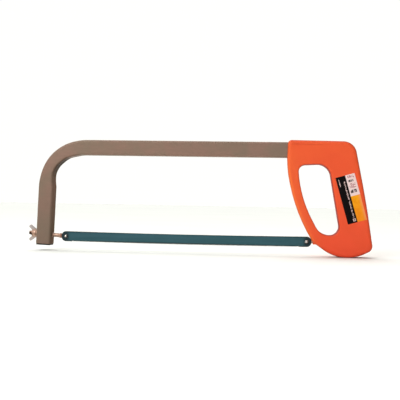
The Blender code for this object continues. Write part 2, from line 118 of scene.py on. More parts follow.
BOLT_TILT = math.radians(4.3)
BOLT_RADIUS = 2.5
BOLT_END = 48.3
BOLT_HOLE_RADIUS = 3.0
THREAD_START = 17.0
THREAD_PITCH = 0.8
THREAD_DEPTH = 0.42
EYE_HEIGHT = 5.6
EYE_REACH = 5.0
EYE_AHEAD = 9.0
SHANK_START = 6.7  # from the pin to the round part of a holder
EYE_BACK_Y = 2.4
NUT_SEAT = 39.2
NUT_TURN = math.radians(-14)
WASHER_THICKNESS = 1.0
PIN_RADIUS = 1.8
PIN_HOLE_RADIUS = 1.95
PIN_PROUD = 2.5

HALF_WIDTH = 13.0
SHELL_WALL = 2.5
OUTER_FILLET = 4.5
OPENING_FILLET = 2.0
BOSS_RADIUS = 4.2
HANDLE_OUTLINE = (  # x, z and corner radius, anticlockwise from the front of the top edge
    (276.0, 124.1, 5.0),
    (275.1, 90.2, 136.0),
    (287.6, 33.8, 218.0),
    (308.4, -0.1, 12.0),
    (345.0, -26.4, 49.0),
    (380.5, -7.9, 8.0),
    (371.2, 50.2, 900.0),
    (356.3, 123.0, 16.5),
)
HANDLE_OPENING = (
    (289.0, 93.6, 8.5),
    (292.4, 54.1, 146.0),
    (317.0, 8.4, 19.5),
    (341.7, 8.4, 10.6),
    (325.9, 95.6, 16.0),
)
TUBE_RIBS_X = (301.0, 323.0)
TUBE_RIBS_Z = (95.6, 121.9)
GRIP_RIBS = (((330.0, 363.0), (79.0, 81.0)), ((339.0, 372.5), (29.0, 31.0)))  # x and z spans
LUG_REACH = 5.5  # from the middle of the saw
NOSE_LUG = ((308.4, 0.4), (308.6, -2.9), (312.4, -3.0), (312.9, -2.2), (310.0, 0.2))
SCREWS = {"top": (346.0, 106.0), "grip": (352.0, 55.0), "heel": (362.0, 0.0), "nose": (334.0, -4.0)}
SCREW_RADIUS = 1.6
SCREW_HEAD_RADIUS = 3.2
SCREW_HEAD_SEAT = 9.8
SCREW_HEAD_HEIGHT = 2.4
SCREW_RECESS = 1.4

HOLDER_TILT = math.radians(8)
HOLDER_RADIUS = 2.4
HOLDER_LENGTH = 19.5
HOLDER_EYE_AHEAD = 7.4
HOLDER_TAIL_X = (309.5, 325.0)  # where the rear holder is cut flat to lie on the core plate
PLATE_Y = (0.8, 3.8)
PLATE_FRONT = 277.0
HOLDER_RIVET = (315.8, 2.2)
HOLDER_RIVET_RADIUS = 1.25
TUBE_RIVETS = (291.0, 312.0)
TUBE_RIVET_RADIUS = 2.0

LABEL_CENTRE = (353.0, 53.6)
LABEL_SIZE = (23.4, 58.0)
LABEL_LEAN = math.radians(16)
LABEL_LIFT = 0.08
LABEL_THICKNESS = 0.1

FLOOR_RADIUS = 8.0  # metres
CAMERA_LENS = 71.82
CAMERA_PLACE = (268.3, -987.8, 48.75)
CAMERA_TURN = math.radians(5.76)
CAMERA_ROLL = math.radians(1.06)
KEY_PLACE = Vector((-0.8, -1.4, 1.1))
KEY_TARGET = Vector((0, 0, 0.07))
SUN_DIRECTION = Vector((0.35, -0.45, -1.0))


# Outlines in the plane of the saw


def turned_left(direction):
    return Vector((-direction.y, direction.x))


def shifted(outline, inward):
    """An anticlockwise outline with each side moved inward. Its corner radii follow."""
    moved = []
    for i, (x, z, radius) in enumerate(outline):
        here = Vector((x, z))
        before = (here - Vector(outline[i - 1][:2])).normalized()
        after = (Vector(outline[(i + 1) % len(outline)][:2]) - here).normalized()
        n1, n2 = turned_left(before), turned_left(after)
        place = here + inward * (n1 + n2) / (1 + n1.dot(n2))
        bulges = before.cross(after) > 0
        moved.append((place.x, place.y, radius - inward if bulges else radius + inward))
    return moved


def rounded(outline, arc_step=ARC_STEP):
    """The points of an outline whose corners are arcs."""
    points = []
    for i, (x, z, radius) in enumerate(outline):
        here = Vector((x, z))
        back = (Vector(outline[i - 1][:2]) - here).normalized()
        ahead = (Vector(outline[(i + 1) % len(outline)][:2]) - here).normalized()
        turn = math.pi - back.angle(ahead)
        centre = here + (back + ahead).normalized() * radius / math.cos(turn / 2)
        start = here + back * radius * math.tan(turn / 2) - centre
        side = 1 if back.cross(ahead) < 0 else -1
        steps = max(3, round(turn / arc_step))
        for k in range(steps + 1):
            points.append(centre + Matrix.Rotation(side * turn * k / steps, 2) @ start)
    return points


def circle(x, z, radius, sides=FINE_SIDES):
    angles = [2 * math.pi * k / sides for k in range(sides)]
    return [Vector((x + radius * math.cos(a), z + radius * math.sin(a))) for a in angles]


# Meshes


def ring(bm, points, y):
    return [bm.verts.new((p.x, y, p.y)) for p in points]


def bridge(bm, first, second):
    """Side faces between two rings that have the same number of points."""
    count = len(first)
    for i in range(count):
        j = (i + 1) % count
        bm.faces.new((first[i], first[j], second[j], second[i]))


def fill(bm, *loops):
    """Flat faces inside the first loop and outside the others."""
    edges = []
    for verts in loops:
        for a, b in zip(verts, verts[1:] + verts[:1]):
            edges.append(bm.edges.get((a, b)) or bm.edges.new((a, b)))
    bmesh.ops.triangle_fill(bm, edges=edges, use_beauty=True, use_dissolve=False)


def add_plate(bm, loops, y_low, y_high):
    """A flat plate between two values of Y. The first loop is its edge and the rest are holes."""
    low = [ring(bm, loop, y_low) for loop in loops]
    high = [ring(bm, loop, y_high) for loop in loops]
    for a, b in zip(low, high):
        bridge(bm, a, b)
    fill(bm, *low)
    fill(bm, *high)


def add_box(bm, x, y, z):
    corners = [Vector((x[i], z[j])) for i, j in ((0, 0), (1, 0), (1, 1), (0, 1))]
    add_plate(bm, [corners], *y)


def add_turned(bm, profile, axis_matrix=None, sides=FINE_SIDES):
    """A body turned about local Z from (radius, height) points. A closed profile makes a ring."""
    rings = []
    for radius, height in profile:
        if radius == 0:
            rings.append([bm.verts.new((0, 0, height))])
            continue
        rings.append([bm.verts.new((p.x, p.y, height)) for p in circle(0, 0, radius, sides)])
    pairs = list(zip(rings, rings[1:]))
    if profile[0][0] and profile[-1][0]:
        pairs.append((rings[-1], rings[0]))
    for a, b in pairs:
        if len(a) == 1 or len(b) == 1:
            tip, rim = (a[0], b) if len(a) == 1 else (b[0], a)
            for i in range(sides):
                bm.faces.new((tip, rim[i], rim[(i + 1) % sides]))
        else:
            bridge(bm, a, b)
    if axis_matrix:
        bmesh.ops.transform(bm, matrix=axis_matrix, verts=[v for r in rings for v in r])


def rod(radius, low, high):
    return [(0, low), (radius, low), (radius, high), (0, high)]


def across(x, z):
    """Local Z along world -Y, towards the near side, through a point of the saw's plane."""
    return Matrix.Translation((x, 0, z)) @ Matrix.Rotation(math.pi / 2, 4, "X")


def along_bolt():
    """Local Z along the draw bolt towards the front, from the front pin. Local Y stays world Y."""
    return Matrix.Rotation(BOLT_TILT - math.pi / 2, 4, "Y")


def along_holder():
    """Local Z along the rear holder into the handle, from the rear pin."""
    return Matrix.Translation((PIN_SPACING, 0, 0)) @ Matrix.Rotation(math.pi / 2 - HOLDER_TILT, 4, "Y")


def solid(name, bm, matrix=None):
    """An object whose mesh is in millimetres, and which stands in the saw's frame."""
    bmesh.ops.recalc_face_normals(bm, faces=bm.faces)
    mesh = bpy.data.meshes.new(name)
    bm.to_mesh(mesh)
    bm.free()
    made = bpy.data.objects.new(name, mesh)
    bpy.context.scene.collection.objects.link(made)
    made.matrix_world = matrix or Matrix.Identity(4)
    return made


def applied(target, modifiers):
    """Gives the object its evaluated mesh in place of the modifiers."""
    for kind, settings in modifiers:
        modifier = target.modifiers.new(kind.lower(), kind)
        for key, value in settings.items():
            setattr(modifier, key, value)
    evaluated = target.evaluated_get(bpy.context.evaluated_depsgraph_get())
    mesh = bpy.data.meshes.new_from_object(evaluated)
    target.modifiers.clear()
    target.data = mesh


def combine(target, operation, *others):
    """Joins or cuts with other solids, which are then removed."""
    for other in others:
        applied(target, [("BOOLEAN", {"operation": operation, "object": other})])
        bpy.data.objects.remove(other)


def show(piece, body, nodes, look, smooth_angle=30):
    """Puts a piece at its real size on its CAD body, in place of CAD nodes."""
    mesh = piece.data
    mesh.transform(piece.matrix_world)
    mesh.transform(Matrix.Scale(MM, 4))
    piece.matrix_world = Matrix.Translation(SAW.to_translation())
    mesh.shade_smooth()
    mesh.set_sharp_from_angle(angle=math.radians(smooth_angle))
    mesh.materials.clear()
    mesh.materials.append(look)
    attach(piece, body)
    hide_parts(*nodes)
    return piece


# Materials


class Nodes:
    """Short calls for making a material's nodes."""

    def __init__(self, name):
        self.material = bpy.data.materials.new(name)
        self.material.use_nodes = True
        self.tree = self.material.node_tree
        self.shader = self.tree.nodes["Principled BSDF"]
        coordinates = self.add("ShaderNodeTexCoord").outputs
        self.place, self.facing = coordinates["Object"], coordinates["Normal"]

    def add(self, kind, **settings):
        node = self.tree.nodes.new(kind)
        for key, value in settings.items():
            setattr(node, key, value)
        return node

    def put(self, source, socket):
        """A link where the source is a socket, and a value where it is a number or colour."""
        if isinstance(source, bpy.types.NodeSocket):
            self.tree.links.new(source, socket)
        else:
            socket.default_value = source

    def calc(self, operation, a, b=0.0, c=0.0):
        node = self.add("ShaderNodeMath", operation=operation)
        for source, socket in zip((a, b, c), node.inputs):
            self.put(source, socket)
        return node.outputs[0]

    def axes(self, vector):
        node = self.add("ShaderNodeSeparateXYZ")
        self.put(vector, node.inputs[0])
        return node.outputs

    def stretch(self, vector, scale):
        node = self.add("ShaderNodeVectorMath", operation="MULTIPLY")
        self.put(vector, node.inputs[0])
        node.inputs[1].default_value = scale
        return node.outputs[0]

    def noise(self, scale, detail=2.0, vector=None, roughness=0.5):
        """Noise from 0 to 1. Scale is in waves per metre."""
        node = self.add("ShaderNodeTexNoise")
        self.put(vector or self.place, node.inputs["Vector"])
        node.inputs["Scale"].default_value = scale
        node.inputs["Detail"].default_value = detail
        node.inputs["Roughness"].default_value = roughness
        return node.outputs["Fac"]

    def span(self, value, low, high, to_low=0.0, to_high=1.0, smooth=True):
        kind = "SMOOTHSTEP" if smooth else "LINEAR"
        node = self.add("ShaderNodeMapRange", interpolation_type=kind)
        for source, socket in zip((value, low, high, to_low, to_high), node.inputs):
            self.put(source, socket)
        return node.outputs[0]

    def mix(self, share, a, b):
        node = self.add("ShaderNodeMix", data_type="RGBA")
        self.put(share, node.inputs["Factor"])
        self.put(a, node.inputs["A"])
        self.put(b, node.inputs["B"])
        return node.outputs["Result"]

    def bump(self, height, distance, strength=1.0, under=None):
        node = self.add("ShaderNodeBump")
        self.put(height, node.inputs["Height"])
        node.inputs["Distance"].default_value = distance
        node.inputs["Strength"].default_value = strength
        if under:
            self.put(under, node.inputs["Normal"])
        return node.outputs["Normal"]

    def finish(self, colour, roughness, metallic=0.0, normal=None, **sockets):
        self.put(colour, self.shader.inputs["Base Color"])
        self.put(roughness, self.shader.inputs["Roughness"])
        self.put(metallic, self.shader.inputs["Metallic"])
        if normal:
            self.put(normal, self.shader.inputs["Normal"])
        for name, value in sockets.items():
            self.put(value, self.shader.inputs[name.replace("_", " ")])
        return self.material


def srgb(red, green, blue):
    """A colour given as it shows on a screen, from 0 to 255."""

    def linear(value):
        value = value / 255
        return value / 12.92 if value <= 0.04045 else ((value + 0.055) / 1.055) ** 2.4

    return (linear(red), linear(green), linear(blue), 1.0)


def lacquered_steel():
    """Grey-brown lacquer, a little redder in clouds, with painted shade low on the leg and on the walls that
    face the throat.
    """
    n = Nodes("lacquered_steel")
    cloud = n.noise(34, 3)
    drawn = n.noise(420, 2, n.stretch(n.place, (0.08, 1.0, 1.0)))
    colour = n.mix(n.span(cloud, 0.35, 0.68), srgb(128, 108, 92), srgb(138, 108, 94))
    colour = n.mix(n.span(drawn, 0.3, 0.8, 0.0, 0.25), colour, srgb(118, 101, 86))
    _, _, height = n.axes(n.place)
    # painted shade: darker low on the leg, towards its foot
    colour = n.mix(n.span(height, 0.02, 0.11, 0.3, 0.0), colour, srgb(108, 91, 79))
    out_x, _, out_z = n.axes(n.facing)
    # painted shade: dark brown on the walls that face back into the throat, darkest inside the bend
    rearward = n.calc("MAXIMUM", out_x, 0.0)
    inward = n.calc("MULTIPLY", rearward, n.calc("MAXIMUM", n.calc("MULTIPLY", out_z, -1.0), 0.0))
    painted_throat_shade = n.calc("MULTIPLY_ADD", inward, 1.5, n.calc("MULTIPLY", rearward, 0.16))
    painted_throat_shade = n.calc("MINIMUM", painted_throat_shade, 0.9)
    colour = n.mix(painted_throat_shade, colour, srgb(44, 31, 18))
    peel = n.bump(n.noise(900, 2), 0.00005, 0.5)
    roughness = n.span(n.noise(160, 3), 0.3, 0.7, 0.46, 0.56)
    sheen = n.calc("MULTIPLY_ADD", n.calc("MAXIMUM", rearward, painted_throat_shade), -0.3, 0.3)
    return n.finish(colour, roughness, sheen, peel, Specular_IOR_Level=sheen)


def orange_plastic():
    """Orange-red plastic, painted yellower on the guard with a painted highlight along its front edge, and
    painted shade round the other edges.
    """
    n = Nodes("orange_plastic")
    x, _, height = n.axes(n.place)
    out_x, out_y, _ = n.axes(n.facing)
    colour = n.mix(n.span(height, -0.02, 0.12), srgb(237, 81, 46), srgb(231, 87, 42))
    colour = n.mix(n.span(n.noise(35, 3), 0.35, 0.7, 0.0, 0.5), colour, srgb(226, 78, 40))
    # painted light: the guard lighter and yellower than the grip, fading towards it
    guard = n.span(n.calc("MULTIPLY_ADD", height, 0.28, x), 0.296, 0.326, 0.6, 0.0)
    colour = n.mix(guard, colour, srgb(230, 98, 42))
    # painted highlight along the guard's front edge, on faces turned to the front and the near side
    painted_front_highlight = n.calc("MULTIPLY", n.span(out_x, -0.2, -0.7), n.span(out_y, -0.1, -0.5))
    painted_front_highlight = n.calc("MULTIPLY", painted_front_highlight, n.span(height, 0.075, 0.105, 0.35, 0.1))
    painted_front_highlight = n.calc("MULTIPLY", painted_front_highlight, n.span(guard, 0.0, 0.4))
    colour = n.mix(painted_front_highlight, colour, srgb(244, 128, 44))
    # painted shade: darker red on the walls that turn away from the near side, most away from the guard
    rim = n.span(n.calc("ABSOLUTE", out_y), 0.85, 0.2)
    rim = n.calc("MULTIPLY", rim, n.span(guard, 0.0, 0.5, 0.75, 0.25))
    colour = n.mix(rim, colour, srgb(140, 38, 22))
    grain = n.bump(n.noise(2600, 1), 0.00003, 0.35)
    roughness = n.span(n.noise(220, 3), 0.3, 0.7, 0.46, 0.54)
    gloss = n.calc("MULTIPLY_ADD", rim, -0.25, 0.22)
    return n.finish(colour, roughness, 0.0, grain, Specular_IOR_Level=gloss)


def blade_paint():
    """Dark teal paint with streaks along the blade, darker by its edges and ends, worn off the teeth."""
    n = Nodes("blade_paint")
    x, _, z = n.axes(n.place)
    half = BLADE_WIDTH / 2 * MM
    off_edge = n.calc("SUBTRACT", half, n.calc("ABSOLUTE", z))
    rim = n.span(off_edge, 0.0004, 0.0022, 1.0, 0.0)
    centre = PIN_SPACING / 2 * MM
    off_end = n.calc("SUBTRACT", centre + half, n.calc("ABSOLUTE", n.calc("SUBTRACT", x, centre)))
    end = n.span(off_end, 0.006, 0.013, 1.0, 0.0)
    dark = n.calc("MAXIMUM", rim, end)
    streak = n.noise(300, 3, n.stretch(n.place, (0.06, 1.0, 1.0)))
    colour = n.mix(n.span(streak, 0.3, 0.7), srgb(38, 80, 88), srgb(48, 88, 98))
    colour = n.mix(n.calc("MULTIPLY", dark, 0.85), colour, srgb(20, 34, 38))
    teeth = n.span(z, -half + 0.0004, -half + 0.0008, 1.0, 0.0)
    colour = n.mix(n.calc("MULTIPLY", teeth, 0.6), colour, srgb(96, 100, 100))
    normal = n.bump(n.noise(1200, 2), 0.00003, 0.4)
    return n.finish(colour, n.span(streak, 0.3, 0.7, 0.42, 0.54), 0.15, normal, Specular_IOR_Level=0.3)


def zinc_plate():
    """Yellowish zinc, grey on the wings, with painted shade at the draw bolt's shoulder and under its end."""
    n = Nodes("zinc_plate")
    cloud = n.noise(240, 3)
    x, _, z = n.axes(n.place)
    colour = n.mix(n.span(cloud, 0.35, 0.65), srgb(190, 160, 142), srgb(156, 122, 104))
    nut_height = NUT_SEAT * math.sin(BOLT_TILT) * MM
    off_bolt = n.calc("ABSOLUTE", n.calc("SUBTRACT", z, nut_height))
    wing = n.calc("MULTIPLY", n.span(off_bolt, 0.003, 0.0065), n.span(x, -0.0395, -0.0405))
    colour = n.mix(wing, colour, srgb(176, 166, 164))
    # painted shade: a brown band round the draw bolt at the shoulder of its flattened eye
    off_shoulder = n.calc("ABSOLUTE", n.calc("ADD", x, SHANK_START * MM))
    colour = n.mix(n.span(off_shoulder, 0.0005, 0.0016, 0.7, 0.0), colour, srgb(112, 52, 24))
    # painted shade: dark on the downward faces of the stud's end beyond the nut
    under = n.calc("MULTIPLY", n.span(n.axes(n.facing)[2], 0.4, -0.2), n.span(x, -0.043, -0.0445))
    under = n.calc("MULTIPLY", under, n.span(off_bolt, 0.0028, 0.0034, 0.9, 0.0))
    colour = n.mix(under, colour, srgb(46, 30, 18))
    normal = n.bump(n.noise(1500, 2), 0.00004, 0.5)
    return n.finish(colour, n.span(cloud, 0.3, 0.7, 0.28, 0.42), 0.9, normal)


def pin_steel():
    """Ground steel, bright on its end, with painted shade on the side towards the handle and the teeth."""
    n = Nodes("pin_steel")
    tone = n.span(n.noise(600, 2), 0.3, 0.7)
    colour = n.mix(tone, srgb(196, 190, 184), srgb(214, 208, 202))
    out_x, out_y, out_z = n.axes(n.facing)
    # painted shade on the pin's sides that face the handle and the teeth
    painted_side_shade = n.span(n.calc("SUBTRACT", out_x, out_z), -0.2, 0.5)
    painted_side_shade = n.calc("MULTIPLY", painted_side_shade, n.span(out_y, -0.98, -0.9))
    colour = n.mix(painted_side_shade, colour, srgb(26, 22, 20))
    return n.finish(colour, n.span(n.noise(900, 2), 0.3, 0.7, 0.22, 0.32), 1.0)


def core_steel():
    n = Nodes("core_steel")
    rolled = n.noise(500, 3, n.stretch(n.place, (0.1, 1.0, 1.0)))
    colour = n.mix(n.span(rolled, 0.3, 0.7), srgb(168, 170, 172), srgb(196, 197, 198))
    return n.finish(colour, n.span(rolled, 0.3, 0.7, 0.35, 0.55), 1.0)


def black_plastic():
    n = Nodes("black_plastic")
    colour = n.mix(n.span(n.noise(300, 3), 0.35, 0.7), srgb(36, 32, 30), srgb(48, 43, 40))
    normal = n.bump(n.noise(2200, 2), 0.00004, 0.5)
    return n.finish(colour, n.span(n.noise(400, 2), 0.3, 0.7, 0.45, 0.6), 0.0, normal)


# Frame tube and its plug


def leg_axes():
    """Down the leg, and from its front face towards the throat."""
    down = Vector((-math.sin(LEG_LEAN), -math.cos(LEG_LEAN)))
    return down, turned_left(down)


def bend_centre():
    z = TUBE_TOP - BEND_RADIUS
    x = LEG_FACE_X + z * math.tan(LEG_LEAN) + BEND_RADIUS / math.cos(LEG_LEAN)
    return Vector((x, z))


def curve(values, share):
    """A smooth curve through evenly spaced values, at a share of its length from 0 to 1."""
    last = len(values) - 1
    i = min(int(share * last), last - 1)
    t = share * last - i
    a, b, c, d = (values[min(max(j, 0), last)] for j in range(i - 1, i + 3))
    return b + t * ((c - a) / 2 + t * (a - 2.5 * b + 2 * c - d / 2 + t * (1.5 * (b - c) + (d - a) / 2)))


def tube_stations(inset, bend_steps=56):
    """(back, throat, share of the bend) of each section, from the foot to the rear end."""
    down, inward = leg_axes()
    centre = bend_centre()
    turn = math.pi / 2 - LEG_LEAN
    stations = []
    for k in range(bend_steps + 1):
        share = k / bend_steps
        outward = Matrix.Rotation(-turn * share, 2) @ -inward
        back = BEND_RADIUS - inset + curve(BACK_SWELL, share)
        throat = BEND_RADIUS - TUBE_SIZE + inset + curve(THROAT_PRESS, share)
        ends = (centre + outward * back, centre + outward * throat)
        stations.append((*ends, math.sin(math.pi * share) ** 2))
    leg_length = (stations[0][0].y - LEG_FOOT) / math.cos(LEG_LEAN)
    foot = tuple(point + down * leg_length for point in stations[0][:2])
    rear = tuple(Vector((TUBE_REAR, point.y)) for point in stations[-1][:2])
    return [(*foot, 0.0), *stations, (*rear, 0.0)]


def tube_ring(bm, back, throat, bend, inset):
    """One section of the tube, between a point of its back and a point of its throat wall."""
    half_depth = (back - throat).length / 2
    half_width = TUBE_SIZE / 2 - inset
    radius = max(TUBE_CORNER - inset, 0.6)
    centre, out = (back + throat) / 2, (back - throat).normalized()
    square = [(-half_width, -half_depth), (half_width, -half_depth)]
    square += [(half_width, half_depth), (-half_width, half_depth)]
    middles = [(0, -half_depth), (half_width, 0), (0, half_depth), (-half_width, 0)]
    arcs = rounded([(y, depth, radius) for y, depth in square])
    corner = len(arcs) // 4
    points = []
    for i, wall_middle in enumerate(middles):
        points += arcs[i * corner : (i + 1) * corner]
        after = arcs[((i + 1) * corner) % len(arcs)]
        here = Vector(wall_middle)
        start = arcs[(i + 1) * corner - 1]
        points += [start.lerp(here, share) for share in (0.5, 1.0)] + [here.lerp(after, 0.5)]
    verts = []
    for p in points:
        across_share = 1 - min(1.0, abs(p.x) / half_width) ** 2
        depth_share = p.y / half_depth
        y = p.x * (1 + bend * SIDE_BULGE / half_width * (1 - depth_share) * (1 - depth_share**4))
        dish = bend * THROAT_DISH * across_share if depth_share < 0 else 0.0
        at = centre + out * (p.y + dish * -depth_share)
        verts.append(bm.verts.new((at.x, y, at.y)))
    return verts


def make_frame_tube(look):
    bm = bmesh.new()
    skins = []
    for inset in (0.0, TUBE_WALL):
        skin = [tube_ring(bm, *station, inset) for station in tube_stations(inset)]
        for a, b in zip(skin, skin[1:]):
            bridge(bm, a, b)
        skins.append(skin)
    bridge(bm, skins[0][0], skins[1][0])
    bridge(bm, skins[0][-1], skins[1][-1])
    tube = solid("tube", bm)
    cuts = bmesh.new()
    add_turned(cuts, rod(BOLT_HOLE_RADIUS, 12, 45), along_bolt())
    underside = TUBE_TOP - TUBE_SIZE
    slot_z = (underside - 2, underside + TUBE_WALL + 1)
    add_box(cuts, (PLATE_FRONT, TUBE_REAR + 2), (PLATE_Y[0] - GAP, PLATE_Y[1] + GAP), slot_z)
    for x in TUBE_RIVETS:
        through = rod(TUBE_RIVET_RADIUS + 0.2, -TUBE_SIZE, TUBE_SIZE)
        add_turned(cuts, through, across(x, TUBE_TOP - TUBE_SIZE / 2))
    combine(tube, "DIFFERENCE", solid("cuts", cuts))
    show(tube, "frame", ["frame_tube"], look, 40)


def make_end_plug(look):
    """A square plug with a flange, in the leg's own axes: local -Z points out of the foot."""
    foot_back, foot_throat, _ = tube_stations(0.0)[0]
    centre = (foot_back + foot_throat) / 2
    inside = TUBE_SIZE / 2 - TUBE_WALL - GAP
    flange = TUBE_SIZE / 2 - 0.2
    levels = [(inside - 0.6, PLUG_DEPTH), (inside, PLUG_DEPTH - 1.0), (inside, -GAP), (flange - 0.3, -GAP)]
    levels += [(flange, -GAP - 0.3)]
    ease = 0.7
    for k in range(6):
        angle = math.pi / 2 * k / 5
        drop = -GAP - PLUG_FLANGE + ease * (1 - math.sin(angle))
        levels.append((flange - ease * (1 - math.cos(angle)), drop))
    bm = bmesh.new()
    rings = []
    for half, height in levels:
        r = TUBE_CORNER - (TUBE_SIZE / 2 - half)
        corners = [(-half, -half, r), (half, -half, r), (half, half, r), (-half, half, r)]
        rings.append([bm.verts.new((p.x, p.y, height)) for p in rounded(corners)])
    for a, b in zip(rings, rings[1:]):
        bridge(bm, a, b)
    bm.faces.new(rings[0])
    bm.faces.new(rings[-1])
    matrix = Matrix.Translation((centre.x, 0, centre.y)) @ Matrix.Rotation(LEG_LEAN, 4, "Y")
    show(solid("end_plug", bm, matrix), "frame", ["tube_end_plug"], look)


# Tensioner


def blade_eye(name, matrix, reach_ahead):
    """A flattened rod end about local Z, round at its low end, with its seat at SEAT_Y."""
    half = EYE_HEIGHT / 2
    outline = ((-half, -EYE_REACH, 2.0), (half, -EYE_REACH, 2.0))
    outline += ((half, reach_ahead, 0.6), (-half, reach_ahead, 0.6))
    bm = bmesh.new()
    add_plate(bm, [rounded(outline, math.radians(9))], SEAT_Y, EYE_BACK_Y)
    return solid(name, bm, matrix)


def thread_rings(low, high):
    """(height, radius at an angle) rings of the thread, which runs out at its low end."""
    rise = 0.1
    for k in range(round((high - low) / rise) + 1):
        height = low + k * rise

        def radius(angle, height=height):
            wave = (height / THREAD_PITCH - angle / (2 * math.pi)) % 1.0
            flank = min(1.0, abs(wave - 0.5) * 2.5)
            depth = THREAD_DEPTH * min(1.0, (height - low) / THREAD_PITCH)
            point = BOLT_RADIUS - depth * (1 - flank)
            return min(point, BOLT_RADIUS - 0.5 + (high - height) * 0.9)

        yield height, radius


def make_tension_bolt(look):
    bm = bmesh.new()
    sides = 48
    angles = [2 * math.pi * k / sides for k in range(sides)]
    tail = bm.verts.new((0, 0, SHANK_START))
    rings = []
    for height in (SHANK_START, THREAD_START - 0.1):
        at = [(BOLT_RADIUS * math.cos(a), BOLT_RADIUS * math.sin(a), height) for a in angles]
        rings.append([bm.verts.new(p) for p in at])
    for height, radius in thread_rings(THREAD_START, BOLT_END):
        at = [(radius(a) * math.cos(a), radius(a) * math.sin(a), height) for a in angles]
        rings.append([bm.verts.new(p) for p in at])
    for i in range(sides):
        bm.faces.new((tail, rings[0][i], rings[0][(i + 1) % sides]))
    for a, b in zip(rings, rings[1:]):
        bridge(bm, a, b)
    bm.faces.new(rings[-1])
    bolt = solid("draw_bolt_stud", bm, along_bolt())
    combine(bolt, "UNION", blade_eye("eye", along_bolt(), EYE_AHEAD))
    hole = bmesh.new()
    add_turned(hole, rod(PIN_HOLE_RADIUS, -5, 5), across(0, 0))
    combine(bolt, "DIFFERENCE", solid("hole", hole))
    show(bolt, "draw_bolt", ["tension_bolt"], look)


def make_pin(name, x, body, node, look):
    """A blade pin with a domed end, standing proud of the blade on the near side."""
    tip = -SEAT_Y + GAP + BLADE_THICKNESS + PIN_PROUD
    dome = 0.9
    profile = [(0, -EYE_BACK_Y), (PIN_RADIUS - 0.2, -EYE_BACK_Y), (PIN_RADIUS, -EYE_BACK_Y + 0.2)]
    for k in range(9):
        angle = math.pi / 2 * k / 8
        profile.append((PIN_RADIUS * math.cos(angle), tip - dome + dome * math.sin(angle)))
    profile[-1] = (0, tip)
    bm = bmesh.new()
    add_turned(bm, profile, across(x, 0))
    show(solid(name, bm), body, [node], look)


def make_washer(look):
    bottom, top, ease = NUT_SEAT - GAP - WASHER_THICKNESS, NUT_SEAT - GAP, 0.15
    profile = [(2.8, bottom + ease), (2.8 + ease, bottom), (5.0 - ease, bottom), (5.0, bottom + ease)]
    profile += [(5.0, top - ease), (5.0 - ease, top), (2.8 + ease, top), (2.8, top - ease)]
    bm = bmesh.new()
    add_turned(bm, profile, along_bolt())
    show(solid("washer", bm), "frame", ["tension_washer"], look)


def make_wing_nut(look):
    """Local Z is the bolt's axis, out of the front of the leg. The wings lie in local XZ."""
    matrix = along_bolt() @ Matrix.Translation((0, 0, NUT_SEAT)) @ Matrix.Rotation(NUT_TURN, 4, "Z")
    hub = [(2.7, 0.3), (3.0, 0), (4.6, 0), (4.9, 0.5), (4.7, 2.0), (4.0, 5.6), (3.6, 6.0), (3.0, 6.0)]
    bm = bmesh.new()
    add_turned(bm, [*hub, (2.7, 5.7)])
    nut = solid("wing_nut_casting", bm)
    wings = bmesh.new()
    for side in (1, -1):
        wing = [(3.3, 0.7, 0.4), (5.6, 0.7, 1.0), (11.0, 7.5, 1.4), (8.2, 9.9, 1.4), (3.3, 4.6, 0.4)]
        if side < 0:
            wing = [(-x, z, r) for x, z, r in reversed(wing)]
        add_plate(wings, [rounded(wing, math.radians(9))], -1.3, 1.3)
    combine(nut, "UNION", solid("wings", wings))
    applied(nut, [("REMESH", {"mode": "VOXEL", "voxel_size": 0.16}), ("SMOOTH", {"iterations": 6})])
    nut.matrix_world = matrix
    show(nut, "wing_nut", ["wing_nut"], look, 60)


# Blade


def tooth_edge():
    """(x, z, lean) along the teeth, which point to the front. Lean runs from -1 to 1."""
    tip_z = -BLADE_WIDTH / 2
    root_z = tip_z + TOOTH_DEPTH
    shape = ((0.0, root_z), (0.06, tip_z), (0.16, tip_z + 0.04), (0.55, root_z - 0.18), (0.8, root_z))
    points = []
    for k in range(TOOTH_COUNT):
        lean = math.sin(2 * math.pi * k / SET_WAVE)
        for share, z in shape:
            points.append((TOOTH_START + (k + share) * TOOTH_PITCH, z, lean * (root_z - z) / TOOTH_DEPTH))
    return points


def blade_end(side, steps=20):
    """The rounded end of the blade, anticlockwise: side is -1 for the front end and +1 for the rear."""
    pin = PIN_SPACING if side > 0 else 0.0
    half = BLADE_WIDTH / 2
    points = []
    for k in range(2 * steps + 2):
        corner = side if k > steps else -side
        angle = math.pi / 2 * ((k - (corner == side)) / steps - side)
        centre = Vector((pin + side * (BLADE_END - BLADE_CORNER), corner * (half - BLADE_CORNER)))
        points.append(centre + BLADE_CORNER * Vector((math.cos(angle), math.sin(angle))))
    return points


